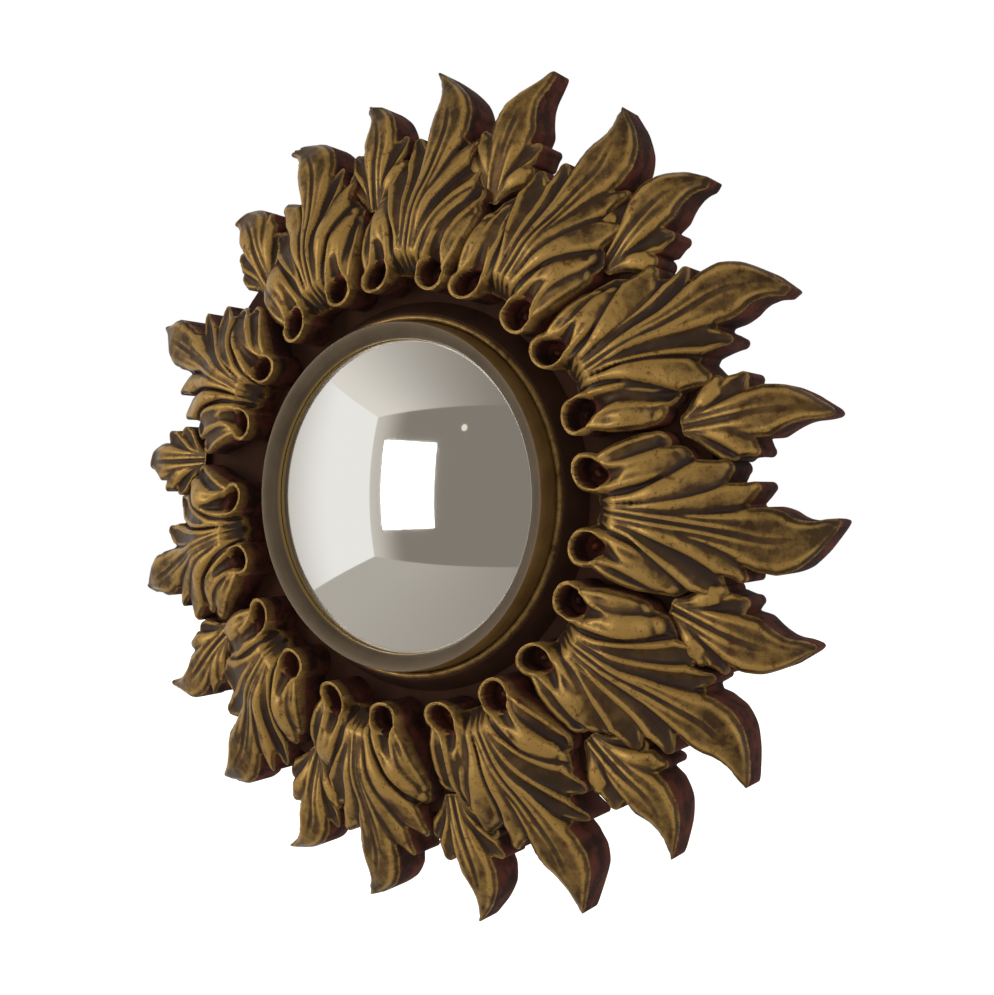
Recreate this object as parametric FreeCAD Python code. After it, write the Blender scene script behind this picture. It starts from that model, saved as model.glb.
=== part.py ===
import FreeCAD, Part

import math
import os

from FreeCAD import Vector

# A convex wall mirror in a carved and gilded sunburst frame. Millimetres and degrees.
# The origin is the centre of the flat back face, the mirror faces -Y and +Z is up.
# A depth is counted forwards from the wall, so a point of depth d lies at y = -d.
# An angle is counted anticlockwise from +X as seen from the front.

# Glass: a round of mirror plate bent to a dome.
GLASS_DIAMETER = 229.0
GLASS_THICKNESS = 3.0
GLASS_SAG = 17.0
GLASS_SEAT_DEPTH = 44.0
GLASS_PLAY = 0.8

# Sight ring: the bronzed moulding that holds the glass from the front.
SIGHT_LAP = 3.7
SIGHT_LIP = 2.0
SIGHT_CHAMFER = 2.8
SIGHT_CHAMFER_DEPTH = 4.4
SIGHT_FACE_WIDTH = 8.6
SIGHT_FACE_RISE = 3.2
SIGHT_TAPER = 1.9
SEAT_PLAY = 0.3

# Bead: the small gilt half-round that runs round the sight ring.
BEAD_WIDTH = 4.4
BEAD_HEIGHT = 3.0

# Backing ring: the board that carries everything, with a collar for the sight ring.
GROUND_DEPTH = 24.0
GROUND_RADIUS = 226.0
COLLAR_HEIGHT = 16.0
COLLAR_LEDGE = 1.5
COLLAR_SLOPE = 9.5

# Back board, its rebate, and the recess in which the turn buttons lie.
BOARD_THICKNESS = 3.2
BOARD_LAP = 16.0
BOARD_PLAY = 0.6
RECESS_DEPTH = 8.0
RECESS_WIDTH = 32.0

# Glue blocks between the glass and the back board.
BLOCK_COUNT = 8
BLOCK_LENGTH = 26.0
BLOCK_WIDTH = 8.0
BLOCK_PLAY = 0.15

# Turn buttons, each on its own screw.
BUTTON_COUNT = 4
BUTTON_FIRST_ANGLE = 45.0
BUTTON_WIDTH = 10.0
BUTTON_CLIP = 2.5
BUTTON_THICKNESS = 1.6
BUTTON_REACH = 19.0
BUTTON_LAP = 8.0
BUTTON_LIFT = 0.1

# Round-headed wood screws, with few flat sides in place of a true round. What turns on them has a
# true round hole.
SCREW_SHANK = 3.4
SCREW_HEAD = 7.0
SCREW_HEAD_HEIGHT = 2.2
SCREW_LENGTH = 12.0
SCREW_HOLE_SPARE = 1.0
SCREW_PLAY = 0.06
SCREW_HEAD_PLAY = 0.15
SCREW_SIDES = 12

# Hanger: a strap plate with a knuckle, and a flat brass ring that swings in it. The hinge lies
# a set way inside the edge of the backing ring.
HINGE_INSET = 27.0
STRAP_WIDTH = 14.0
STRAP_LENGTH = 28.0
STRAP_THICKNESS = 1.6
STRAP_FIRST_SCREW = 8.0
STRAP_SCREW_PITCH = 15.5
KNUCKLE_WALL = 1.5
RING_BAR = 3.2
RING_PLAY = 0.08
RING_INNER = 11.0
RING_BAND = 4.0
RING_THICKNESS = 2.8
RING_LEG = 4.0
RING_LEAN = 4.4
POCKET_DEPTH = 10.0
POCKET_SIDE_PLAY = 6.0
POCKET_END_PLAY = 3.0
POCKET_CORNER = 6.0

# Front leaves, clockwise from the top: the angle of the root, of the blade and of the tip,
# and the reach of the tip from the mirror's axis.
FRONT_LEAVES = [
    (86.4, 83.0, 87.0, 304.0),
    (57.7, 54.5, 57.3, 300.0),
    (28.0, 28.3, 24.6, 300.0),
    (-3.0, -5.5, -2.7, 303.0),
    (-33.5, -32.0, -35.8, 303.0),
    (-65.5, -63.0, -64.7, 307.0),
    (-101.3, -96.7, -99.0, 301.0),
    (-135.5, -129.7, -131.0, 304.0),
    (-170.5, -166.0, -165.0, 301.0),
    (-209.5, -208.0, -208.0, 303.0),
    (-243.5, -249.5, -246.0, 295.0),
]
# Back leaves, each next clockwise to the front leaf of the same row: the angle of the blade
# and of the tip, and the reach. The root lies midway between the two front roots.
BACK_LEAVES = [
    (71.5, 69.0, 307.0),
    (44.5, 41.8, 297.0),
    (11.5, 9.5, 303.0),
    (-19.5, -17.3, 301.0),
    (-46.0, -49.7, 302.0),
    (-78.5, -80.5, 303.0),
    (-111.5, -115.0, 304.0),
    (-147.0, -149.0, 308.0),
    (-186.5, -186.0, 287.0),
    (-232.5, -231.0, 287.0),
    (-263.0, -260.5, 295.0),
]
ROOT_RADIUS = 158.0
BLADE_RADIUS = 255.0
LEAF_START = 149.0
TIP_CLEARANCE = 0.3
PLANK_WIDTH = 140.0
SAW_MARGIN = 3.0

# How many straight chisel cuts make each curve of a leaf.
FLANK_CUTS = 2
LOBE_CUTS = 3
BLADE_CUTS = 4
VOLUTE_CUTS = 6
EYE_CUTS = 6
TONGUE_CUTS = 2

# Long profile of each kind of leaf, as (radius, depth), along the top from root to tip. The back
# leaves take root a set way inside the edge of the backing ring.
BACK_LAP = 14.5
BACK_PLANK_LAP = 30.0
FRONT_PROFILE = [(140, 54), (168, 56), (204, 57), (224, 45), (252, 35), (312, 25)]
BACK_PROFILE = [(GROUND_RADIUS - BACK_PLANK_LAP, 29), (240, 35), (312, 24)]
GROOVE_WIDTH = 9.0
GROOVE_CUT = 2.2

# Volutes: the pair of scrolls at the root of each front leaf.
VOLUTE_SPREAD = 23.5
VOLUTE_RADIUS = 13.0
VOLUTE_RIM = 2.8
VOLUTE_TONGUE = 3.0
VOLUTE_EYE_DEPTH = 20.0

# Lobes, from root to tip: the flank, shoulder, end and lip of each and the notch beyond it,
# as (radius, share). A leaf has a core of a set half width, and a share of 1 would take its
# side from that core to the core of the next leaf, or across the lobe room if that is less. The
# first lobes have more room, out to the radius where they end.
FRONT_CORE = 12.0
BACK_CORE = 9.0
LOBE_ROOM = 30.0
FIRST_LOBE_ROOM = 41.0
FIRST_LOBE_END = 212.0
FRONT_LOBES = [
    ((188, 1.02), (201, 1.24), (210, 1.16), (211, 0.92), (205, 0.66)),
    ((217, 0.66), (228, 0.64), (236, 0.52), (235, 0.38), (227, 0.26)),
    ((239, 0.36), (250, 0.34), (257, 0.26), (256, 0.17), (249, 0.09)),
]
FRONT_BELLY = (272, 0.12)
BACK_LOBES = [
    ((230, 0.26), (245, 0.48), (257, 0.44), (258, 0.27), (250, 0.10)),
]
BACK_BELLY = (270, 0.14)
BACK_START = (GROUND_RADIUS - BACK_LAP, -0.2)

GLASS_RADIUS = GLASS_DIAMETER / 2
BORE_RADIUS = GLASS_RADIUS + GLASS_PLAY
DOME_RADIUS = (GLASS_RADIUS ** 2 + GLASS_SAG ** 2) / (2 * GLASS_SAG)
COLLAR_DEPTH = GROUND_DEPTH + COLLAR_HEIGHT
SIGHT_RADIUS = GLASS_RADIUS - SIGHT_LAP
SIGHT_OUTER = SIGHT_RADIUS + SIGHT_CHAMFER + SIGHT_FACE_WIDTH + SIGHT_TAPER
BEAD_INNER = SIGHT_OUTER + SEAT_PLAY
COLLAR_RADIUS = BEAD_INNER + BEAD_WIDTH + COLLAR_LEDGE
REBATE_RADIUS = BORE_RADIUS + BOARD_LAP
RECESS_RADIUS = REBATE_RADIUS + RECESS_WIDTH
BUTTON_PIVOT_RADIUS = REBATE_RADIUS - BUTTON_LAP + BUTTON_REACH
HEAD_SEAT_DEPTH = RECESS_DEPTH - BUTTON_LIFT - BUTTON_THICKNESS - SCREW_HEAD_PLAY
KNUCKLE_RADIUS = RING_BAR / 2 + RING_PLAY + KNUCKLE_WALL
HINGE_DEPTH = POCKET_DEPTH - KNUCKLE_RADIUS
HINGE_HEIGHT = GROUND_RADIUS - HINGE_INSET
AXIS = Vector(0, 1, 0)
CENTRE = Vector(0, 0, 0)
FRONTWARDS = Vector(0, -1, 0)
BACKWARDS = Vector(0, 1, 0)


def polar(radius, angle, depth=0.0):
    turn = math.radians(angle)
    return Vector(radius * math.cos(turn), -depth, radius * math.sin(turn))


def line(start, end):
    return Part.LineSegment(start, end).toShape()


def arc(start, through, end):
    return Part.Arc(start, through, end).toShape()


def cut_curve(start, through, end, cuts):
    """An arc as a chisel leaves it, in a number of short straight cuts."""
    points = Part.Arc(start, through, end).discretize(cuts + 1)
    return [line(a, b) for a, b in zip(points, points[1:])]


def turned(edges):
    """The solid that a flat outline sweeps in a full turn about the mirror's axis."""
    return Part.Face(Part.Wire(edges)).revolve(CENTRE, AXIS, 360)


def closed_outline(points):
    """Straight edges through (radius, depth) points, in the half plane of +X, and back."""
    corners = [Vector(radius, -depth, 0) for radius, depth in points]
    return [line(corners[i - 1], corners[i]) for i in range(len(corners))]


def dome(radius, top_depth):
    """A ball whose front lies at the given depth on the mirror's axis."""
    return Part.makeSphere(radius, Vector(0, radius - top_depth, 0))


def dome_height(distance):
    """How far the front of the glass stands above its own edge, at a distance from the axis."""
    edge = math.sqrt(DOME_RADIUS ** 2 - GLASS_RADIUS ** 2)
    return math.sqrt(DOME_RADIUS ** 2 - distance ** 2) - edge


def mirror_glass():
    crown = GLASS_SEAT_DEPTH + GLASS_THICKNESS + GLASS_SAG
    front = dome(DOME_RADIUS, crown)
    back = dome(DOME_RADIUS - GLASS_THICKNESS, crown - GLASS_THICKNESS)
    blank = Part.makeCylinder(GLASS_RADIUS, crown, Vector(0, -GLASS_SEAT_DEPTH, 0), FRONTWARDS)
    return blank.common(front).cut(back)


def sight_ring():
    lip_back = GLASS_SEAT_DEPTH + GLASS_THICKNESS + dome_height(SIGHT_RADIUS) + SEAT_PLAY
    chamfer_foot = lip_back + SIGHT_LIP
    chamfer_top = chamfer_foot + SIGHT_CHAMFER_DEPTH
    face_inner = SIGHT_RADIUS + SIGHT_CHAMFER
    face_outer = face_inner + SIGHT_FACE_WIDTH
    face_depth = chamfer_top + SIGHT_FACE_RISE
    return turned(closed_outline([
        (BORE_RADIUS, COLLAR_DEPTH),
        (BORE_RADIUS, lip_back),
        (SIGHT_RADIUS, lip_back),
        (SIGHT_RADIUS, chamfer_foot),
        (face_inner, chamfer_top),
        (face_outer, face_depth),
        (SIGHT_OUTER, COLLAR_DEPTH),
    ]))


def bead_moulding():
    shoulder = BEAD_WIDTH / 4
    outer = BEAD_INNER + BEAD_WIDTH
    crest_depth = COLLAR_DEPTH + BEAD_HEIGHT
    return turned(closed_outline([
        (BEAD_INNER, COLLAR_DEPTH),
        (BEAD_INNER + shoulder, crest_depth),
        (outer - shoulder, crest_depth),
        (outer, COLLAR_DEPTH),
    ]))


def backing_ring():
    ring = turned(closed_outline([
        (BORE_RADIUS, COLLAR_DEPTH),
        (COLLAR_RADIUS, COLLAR_DEPTH),
        (COLLAR_RADIUS + COLLAR_SLOPE, GROUND_DEPTH),
        (GROUND_RADIUS, GROUND_DEPTH),
        (GROUND_RADIUS, 0),
        (RECESS_RADIUS, 0),
        (RECESS_RADIUS, RECESS_DEPTH),
        (REBATE_RADIUS, RECESS_DEPTH),
        (REBATE_RADIUS, RECESS_DEPTH + BOARD_THICKNESS),
        (BORE_RADIUS, RECESS_DEPTH + BOARD_THICKNESS),
    ]))
    holes = [screw_hole(seat, RECESS_DEPTH) for seat in button_pivots()]
    holes += [screw_hole(seat, POCKET_DEPTH) for seat in strap_screw_seats()]
    return ring.cut([hanger_pocket()] + holes)


def back_board():
    board = Part.makeCylinder(
        REBATE_RADIUS - BOARD_PLAY, BOARD_THICKNESS, Vector(0, -RECESS_DEPTH, 0), FRONTWARDS)
    return board


def glue_blocks():
    """Blocks round the bore that keep the glass against the sight ring."""
    half = BLOCK_LENGTH / 2
    outer = math.sqrt((BORE_RADIUS - BLOCK_PLAY) ** 2 - half ** 2)
    foot = RECESS_DEPTH + BOARD_THICKNESS + SEAT_PLAY
    height = GLASS_SEAT_DEPTH - SEAT_PLAY - foot
    blocks = []
    for i in range(BLOCK_COUNT):
        corner = Vector(outer - BLOCK_WIDTH, -foot - height, -half)
        block = Part.makeBox(BLOCK_WIDTH, height, BLOCK_LENGTH, corner)
        block.rotate(CENTRE, AXIS, 360.0 * i / BLOCK_COUNT)
        blocks.append(block)
    return Part.makeCompound(blocks)


def button_pivots():
    step = 360.0 / BUTTON_COUNT
    return [polar(BUTTON_PIVOT_RADIUS, BUTTON_FIRST_ANGLE + step * i) for i in range(BUTTON_COUNT)]


def strap_screw_seats():
    first = HINGE_HEIGHT - STRAP_FIRST_SCREW
    return [Vector(0, 0, first), Vector(0, 0, first - STRAP_SCREW_PITCH)]


def turn_button(index):
    """A flat steel button with clipped corners, drilled near one end, over the board's edge."""
    half = BUTTON_WIDTH / 2
    pivot = button_pivots()[index]
    near = BUTTON_PIVOT_RADIUS + half
    far = BUTTON_PIVOT_RADIUS - BUTTON_REACH
    rear = BUTTON_THICKNESS + BUTTON_LIFT - RECESS_DEPTH
    clip = BUTTON_CLIP
    corners = [(near, half - clip), (near - clip, half), (far + clip, half), (far, half - clip)]
    corners += [(radius, -z) for radius, z in reversed(corners)]
    outline = Part.makePolygon([Vector(radius, rear, z) for radius, z in corners + corners[:1]])
    button = Part.Face(outline).extrude(FRONTWARDS * BUTTON_THICKNESS)
    button.rotate(CENTRE, AXIS, math.degrees(math.atan2(-pivot.z, pivot.x)))
    bearing = Part.makeCylinder(SCREW_SHANK / 2 + SCREW_PLAY, RECESS_DEPTH, pivot, FRONTWARDS)
    return button.cut(bearing)


def sided_round(radius, centre):
    """The corners of few equal sides round a centre, facing front and back."""
    return [centre + polar(radius, 360 * i / SCREW_SIDES) for i in range(SCREW_SIDES)]


def flat_face(corners):
    return Part.Face(Part.makePolygon(corners + corners[:1]))


def post(radius, length, start):
    """A straight post of few sides, which runs forwards from a point."""
    return flat_face(sided_round(radius, start)).extrude(FRONTWARDS * length)


def screw(seat, head_depth):
    """A round-headed screw driven forwards, with the underside of its head at the given depth."""
    start = Vector(seat.x, -head_depth, seat.z)
    low = sided_round(SCREW_HEAD / 2, start)
    high = sided_round(SCREW_HEAD / 4, start + BACKWARDS * SCREW_HEAD_HEIGHT)
    flats = [flat_face([low[i - 1], low[i], high[i], high[i - 1]]) for i in range(SCREW_SIDES)]
    head = Part.Solid(Part.Shell(flats + [flat_face(low), flat_face(high)]))
    return post(SCREW_SHANK / 2, SCREW_LENGTH, start).fuse(head)


def screw_hole(seat, floor_depth):
    """The pilot hole that a screw's shank fills, from a floor of the given depth."""
    start = Vector(seat.x, 0, seat.z)
    length = floor_depth + SCREW_LENGTH + SCREW_HOLE_SPARE
    return post(SCREW_SHANK / 2 + SCREW_PLAY, length, start)


def button_screws():
    return Part.makeCompound([screw(seat, HEAD_SEAT_DEPTH) for seat in button_pivots()])


def hanger_screws():
    under_head = POCKET_DEPTH - STRAP_THICKNESS
    return Part.makeCompound([screw(seat, under_head) for seat in strap_screw_seats()])


def hanger_pocket():
    """The routed pocket for the strap and the ring, open to the back."""
    half = RING_INNER + RING_BAND + POCKET_SIDE_PLAY
    top = HINGE_HEIGHT + RING_LEG + RING_INNER + RING_BAND + POCKET_END_PLAY
    low = HINGE_HEIGHT - STRAP_LENGTH - POCKET_END_PLAY
    pocket = Part.makeBox(2 * half, POCKET_DEPTH, top - low, Vector(-half, -POCKET_DEPTH, low))
    upright = [edge for edge in pocket.Edges if abs(edge.BoundBox.YLength - POCKET_DEPTH) < 0.01]
    return pocket.makeFillet(POCKET_CORNER, upright)


def hanger_strap():
    half = STRAP_WIDTH / 2
    left = Vector(-half, -HINGE_DEPTH, HINGE_HEIGHT)
    knuckle = Part.makeCylinder(KNUCKLE_RADIUS, STRAP_WIDTH, left, Vector(1, 0, 0))
    corner = Vector(-half, -POCKET_DEPTH, HINGE_HEIGHT - STRAP_LENGTH)
    plate = Part.makeBox(STRAP_WIDTH, STRAP_THICKNESS, STRAP_LENGTH, corner)
    bar_hole = Part.makeCylinder(
        RING_BAR / 2 + RING_PLAY, STRAP_WIDTH, left, Vector(1, 0, 0))
    shank = SCREW_SHANK / 2 + SCREW_PLAY
    holes = [post(shank, POCKET_DEPTH, seat) for seat in strap_screw_seats()]
    return knuckle.fuse(plate).cut([bar_hole] + holes)


def hanger_ring():
    """A flat D-shaped ring on a round bar, leaning back so that it rests in the pocket."""
    outer = RING_INNER + RING_BAND
    foot = HINGE_HEIGHT
    shoulder = foot + RING_LEG
    rear = RING_THICKNESS / 2 - HINGE_DEPTH
    heel = RING_BAR / 2

    def corner(x, z):
        return Vector(x, rear, z)

    outline = Part.Wire([
        arc(corner(outer, shoulder), corner(0, shoulder + outer), corner(-outer, shoulder)),
        line(corner(-outer, shoulder), corner(-outer, foot - heel)),
        line(corner(-outer, foot - heel), corner(-RING_INNER, foot - heel)),
        line(corner(-RING_INNER, foot - heel), corner(-RING_INNER, shoulder)),
        arc(corner(-RING_INNER, shoulder), corner(0, shoulder + RING_INNER),
            corner(RING_INNER, shoulder)),
        line(corner(RING_INNER, shoulder), corner(RING_INNER, foot - heel)),
        line(corner(RING_INNER, foot - heel), corner(outer, foot - heel)),
        line(corner(outer, foot - heel), corner(outer, shoulder)),
    ])
    band = Part.Face(outline).extrude(FRONTWARDS * RING_THICKNESS)
    half = RING_INNER + RING_BAND / 2
    hinge = Vector(0, -HINGE_DEPTH, HINGE_HEIGHT)
    bar = Part.makeCylinder(RING_BAR / 2, 2 * half, hinge - Vector(half, 0, 0), Vector(1, 0, 0))
    ring = band.fuse(bar).removeSplitter()
    ring.rotate(hinge, Vector(1, 0, 0), RING_LEAN)
    return ring


def all_leaves():
    """Every leaf in turn, clockwise, as the angles of its root, blade and tip and its reach."""
    leaves = []
    count = len(FRONT_LEAVES)
    for i in range(count):
        leaves.append(FRONT_LEAVES[i])
        root = FRONT_LEAVES[i][0]
        next_root = FRONT_LEAVES[(i + 1) % count][0] - (360 if i == count - 1 else 0)
        leaves.append(((root + next_root) / 2,) + BACK_LEAVES[i])
    return leaves


LEAVES = all_leaves()


def leaf_axis(index, radius):
    """The angle of a leaf's axis at a radius, with neighbours counted past a full turn.

    From root to blade the angle changes evenly, and past the blade the tip hooks away.
    """
    root, blade, tip, reach = LEAVES[index % len(LEAVES)]
    drift = (blade - root) / (BLADE_RADIUS - ROOT_RADIUS)
    angle = root + drift * (radius - ROOT_RADIUS)
    if radius > BLADE_RADIUS:
        hook = tip - root - drift * (reach - ROOT_RADIUS)
        angle += hook * ((radius - BLADE_RADIUS) / (reach - BLADE_RADIUS)) ** 2
    return angle - 360 * (index // len(LEAVES))


def on_leaf(index, side, radius, share):
    """A point beside a leaf's axis, by its share of the free room on that side.

    The side is +1 anticlockwise and -1 clockwise. Even leaves are front ones.
    """
    own = leaf_axis(index, radius)
    room = abs(math.radians(leaf_axis(index - side, radius) - own)) * radius
    core = BACK_CORE if index % 2 else FRONT_CORE
    most = FIRST_LOBE_ROOM if radius < FIRST_LOBE_END else LOBE_ROOM
    width = core + share * min(room - FRONT_CORE - BACK_CORE, most)
    return beside_axis(index, side, radius, width)


def beside_axis(index, side, radius, width):
    """A point at a width in mm to one side of a leaf's axis."""
    return polar(radius, leaf_axis(index, radius) + side * math.degrees(width / radius))


def volute_centre(index, side):
    return beside_axis(index, side, ROOT_RADIUS, VOLUTE_SPREAD)


def round_volute(index, side, distance, turn):
    """A point round a volute. A turn of 0 points at the mirror, and 90 away from the leaf."""
    centre = volute_centre(index, side)
    inward = math.degrees(math.atan2(-centre.z, -centre.x))
    return centre + polar(distance, inward - side * turn)


def lobed_side(index, side, start, lobes, belly):
    """The edges of one side of a leaf, from its first point out to the tip."""
    edges = []
    at = start
    for flank, shoulder, end, lip, notch in lobes:
        points = [on_leaf(index, side, radius, share) for radius, share in
                  (flank, shoulder, end, lip, notch)]
        edges += cut_curve(at, points[0], points[1], FLANK_CUTS)
        edges += cut_curve(points[1], points[2], points[3], LOBE_CUTS)
        edges.append(line(points[3], points[4]))
        at = points[4]
    reach = LEAVES[index % len(LEAVES)][-1]
    tip = beside_axis(index, side, reach, 0)
    return edges + cut_curve(at, on_leaf(index, side, *belly), tip, BLADE_CUTS)


def leaf_blank(index, root_edges, starts, lobes, belly, profile):
    """A leaf's outline, cut from a plank of its long profile and seated on the backing ring."""
    edges = root_edges
    for side in (1, -1):
        edges += lobed_side(index, side, starts[side], lobes, belly)
    outline = Part.Wire(Part.sortEdges(edges)[0])
    outline.translate(BACKWARDS * SAW_MARGIN)
    thickest = max(depth for radius, depth in profile) + 2 * SAW_MARGIN
    first, last = profile[0][0], profile[-1][0]
    side_face = Part.Face(Part.Wire(closed_outline(list(profile) + [(last, 0), (first, 0)])))
    side_face.translate(Vector(0, 0, -PLANK_WIDTH / 2))
    plank = side_face.extrude(Vector(0, 0, PLANK_WIDTH))
    plank.rotate(CENTRE, AXIS, -leaf_axis(index, BLADE_RADIUS))
    seat = Part.makeCylinder(GROUND_RADIUS + TIP_CLEARANCE, GROUND_DEPTH, CENTRE, FRONTWARDS)
    return Part.Face(outline).extrude(FRONTWARDS * thickest).common(plank).cut(seat)


def groove(index, profile, stop):
    """V cuts along a leaf's axis, one for each straight of its long profile."""
    cuts = []
    half = GROOVE_WIDTH / 2
    for (r0, d0), (r1, d1) in zip(profile, profile[1:]):
        if r0 < LEAF_START or r0 >= stop:
            continue
        near = polar(r0, leaf_axis(index, r0), d0)
        far = polar(r1, leaf_axis(index, r1), d1)
        across = (far - near).cross(FRONTWARDS).normalize() * half
        lip = near + FRONTWARDS * GROOVE_CUT
        wedge = Part.makePolygon([
            near + BACKWARDS * GROOVE_CUT, lip + across * 2, lip - across * 2,
            near + BACKWARDS * GROOVE_CUT])
        cuts.append(Part.Face(wedge).extrude(far - near))
    return cuts


def volute_eye(index, side):
    """The deep eye of a scroll, with the rolled tongue of the leaf left standing in it."""
    hollow = VOLUTE_RADIUS - VOLUTE_RIM
    mouth = [round_volute(index, side, hollow, turn) for turn in (140, 10, -120)]
    tongue = round_volute(index, side, VOLUTE_TONGUE, 190)
    outline = cut_curve(*mouth, EYE_CUTS) + cut_curve(mouth[2], tongue, mouth[0], TONGUE_CUTS)
    face = Part.Face(Part.Wire(outline))
    top = max(depth for radius, depth in FRONT_PROFILE)
    face.translate(FRONTWARDS * (top + SAW_MARGIN))
    return face.extrude(BACKWARDS * (VOLUTE_EYE_DEPTH + SAW_MARGIN))


def front_leaf(number):
    """A leaf with a pair of volutes at its root, three lobes a side and a long blade."""
    index = 2 * number
    root = beside_axis(index, 1, LEAF_START, 0)
    edges = []
    starts = {}
    for side in (1, -1):
        volute = [round_volute(index, side, VOLUTE_RADIUS, turn) for turn in (-70, 35, 128)]
        edges += [line(root, volute[0])] + cut_curve(*volute, VOLUTE_CUTS)
        starts[side] = volute[2]
    leaf = leaf_blank(index, edges, starts, FRONT_LOBES, FRONT_BELLY, FRONT_PROFILE)
    cuts = [volute_eye(index, side) for side in (1, -1)]
    cuts += groove(index, FRONT_PROFILE, FRONT_BELLY[0])
    return leaf.cut(cuts)


def back_leaf(number):
    """A lower leaf that rises between two front leaves, with one lobe a side."""
    index = 2 * number + 1
    starts = {side: on_leaf(index, side, *BACK_START) for side in (1, -1)}
    root = [line(starts[1], starts[-1])]
    leaf = leaf_blank(index, root, starts, BACK_LOBES, BACK_BELLY, BACK_PROFILE)
    return leaf.cut(groove(index, BACK_PROFILE, BACK_BELLY[0]))


def pieces():
    made = {
        "mirror_glass": mirror_glass(),
        "sight_ring": sight_ring(),
        "bead_moulding": bead_moulding(),
        "backing_ring": backing_ring(),
        "back_board": back_board(),
        "glue_blocks": glue_blocks(),
        "button_screws": button_screws(),
        "hanger_strap": hanger_strap(),
        "hanger_ring": hanger_ring(),
        "hanger_screws": hanger_screws(),
    }
    for i in range(BUTTON_COUNT):
        made[f"turn_button_{i + 1}"] = turn_button(i)
    for i in range(len(FRONT_LEAVES)):
        made[f"front_leaf_{i + 1:02d}"] = front_leaf(i)
        made[f"back_leaf_{i + 1:02d}"] = back_leaf(i)
    return made


os.makedirs("parts", exist_ok=True)
for name, shape in pieces().items():
    shape.exportStep(f"parts/{name}.step")
    print(name, len(shape.Solids), "solid", round(shape.Volume), "mm3", shape.isValid())
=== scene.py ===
# %% [markdown]
# # A convex butlers mirror in a sunburst of gilded leaves
# The real object is a domed round of silvered glass in a carved limewood frame. The leaves were
# carved, coated with red bole, gilded, rubbed bright on the high places and toned dark in the low
# ones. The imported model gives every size. It is loaded first, and nothing in it is moved or changed.

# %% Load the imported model
import math

import bpy
import numpy as np
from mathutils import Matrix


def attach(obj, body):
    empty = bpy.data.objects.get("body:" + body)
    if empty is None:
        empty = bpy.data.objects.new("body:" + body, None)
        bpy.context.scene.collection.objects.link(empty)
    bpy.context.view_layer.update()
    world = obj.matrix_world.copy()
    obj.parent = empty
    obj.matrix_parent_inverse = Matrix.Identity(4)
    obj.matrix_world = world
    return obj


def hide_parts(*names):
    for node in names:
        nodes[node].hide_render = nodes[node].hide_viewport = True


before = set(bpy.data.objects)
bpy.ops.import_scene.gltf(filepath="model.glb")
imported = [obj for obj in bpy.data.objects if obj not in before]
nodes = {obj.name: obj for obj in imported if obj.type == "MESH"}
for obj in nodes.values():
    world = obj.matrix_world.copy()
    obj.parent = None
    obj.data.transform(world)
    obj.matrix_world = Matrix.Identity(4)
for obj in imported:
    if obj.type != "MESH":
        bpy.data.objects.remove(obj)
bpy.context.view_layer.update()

MM = 0.001
bpy.context.scene.view_settings.view_transform = "Standard"

# %% [markdown]
# ## The camera
# It was fitted to the round of the sight ring and to the leaf tips: it stands 0.9 m away, about 35
# degrees round to the right and almost level. A small shift puts the mirror where the photograph
# has it.

# %% Place the camera
CAMERA_TURN = math.radians(35.25)
CAMERA_RISE = math.radians(0.2)
CAMERA_DISTANCE = 0.9
PHOTO_WIDTH = 994
FOCAL_PIXELS = 1220
SENSOR_WIDTH = 36.0
CAMERA_SHIFT = (0.0603, -0.0011)

camera_data = bpy.data.cameras.new("camera")
camera_data.sensor_width = SENSOR_WIDTH
camera_data.sensor_fit = "HORIZONTAL"
camera_data.lens = SENSOR_WIDTH * FOCAL_PIXELS / PHOTO_WIDTH
camera_data.shift_x, camera_data.shift_y = CAMERA_SHIFT
camera = bpy.data.objects.new("camera", camera_data)
level = CAMERA_DISTANCE * math.cos(CAMERA_RISE)
camera.location = (level * math.sin(CAMERA_TURN), -level * math.cos(CAMERA_TURN),
                   CAMERA_DISTANCE * math.sin(CAMERA_RISE))
camera.rotation_euler = (math.radians(90) - CAMERA_RISE, 0, CAMERA_TURN)
bpy.context.scene.collection.objects.link(camera)
bpy.context.scene.camera = camera
print("camera at", tuple(round(c, 3) for c in camera.location), "lens", round(camera_data.lens, 2))

# %% [markdown]
# ## Colours and nodes
# Colours are written as on a paint card, in sRGB, and one function turns them into the linear numbers
# that shaders take. One more function adds a node with its settings and links, whatever its kind.

# %% Helpers for materials
def linear(hex_colour):
    """An sRGB hex colour as a linear colour with alpha."""
    parts = [int(hex_colour[i:i + 2], 16) / 255 for i in (1, 3, 5)]
    return [p / 12.92 if p <= 0.04045 else ((p + 0.055) / 1.055) ** 2.4 for p in parts] + [1.0]


def add_node(tree, kind, inputs, **settings):
    """A node with its settings, each input being a plain value or another node's output."""
    node = tree.nodes.new(kind)
    for name, value in settings.items():
        setattr(node, name, value)
    for socket, value in inputs.items():
        if isinstance(value, bpy.types.NodeSocket):
            tree.links.new(value, node.inputs[socket])
        else:
            node.inputs[socket].default_value = value
    return node


def new_material(name):
    """A material with its node tree and its surface shader."""
    material = bpy.data.materials.new(name)
    material.use_nodes = True
    return material, material.node_tree, material.node_tree.nodes["Principled BSDF"]
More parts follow.
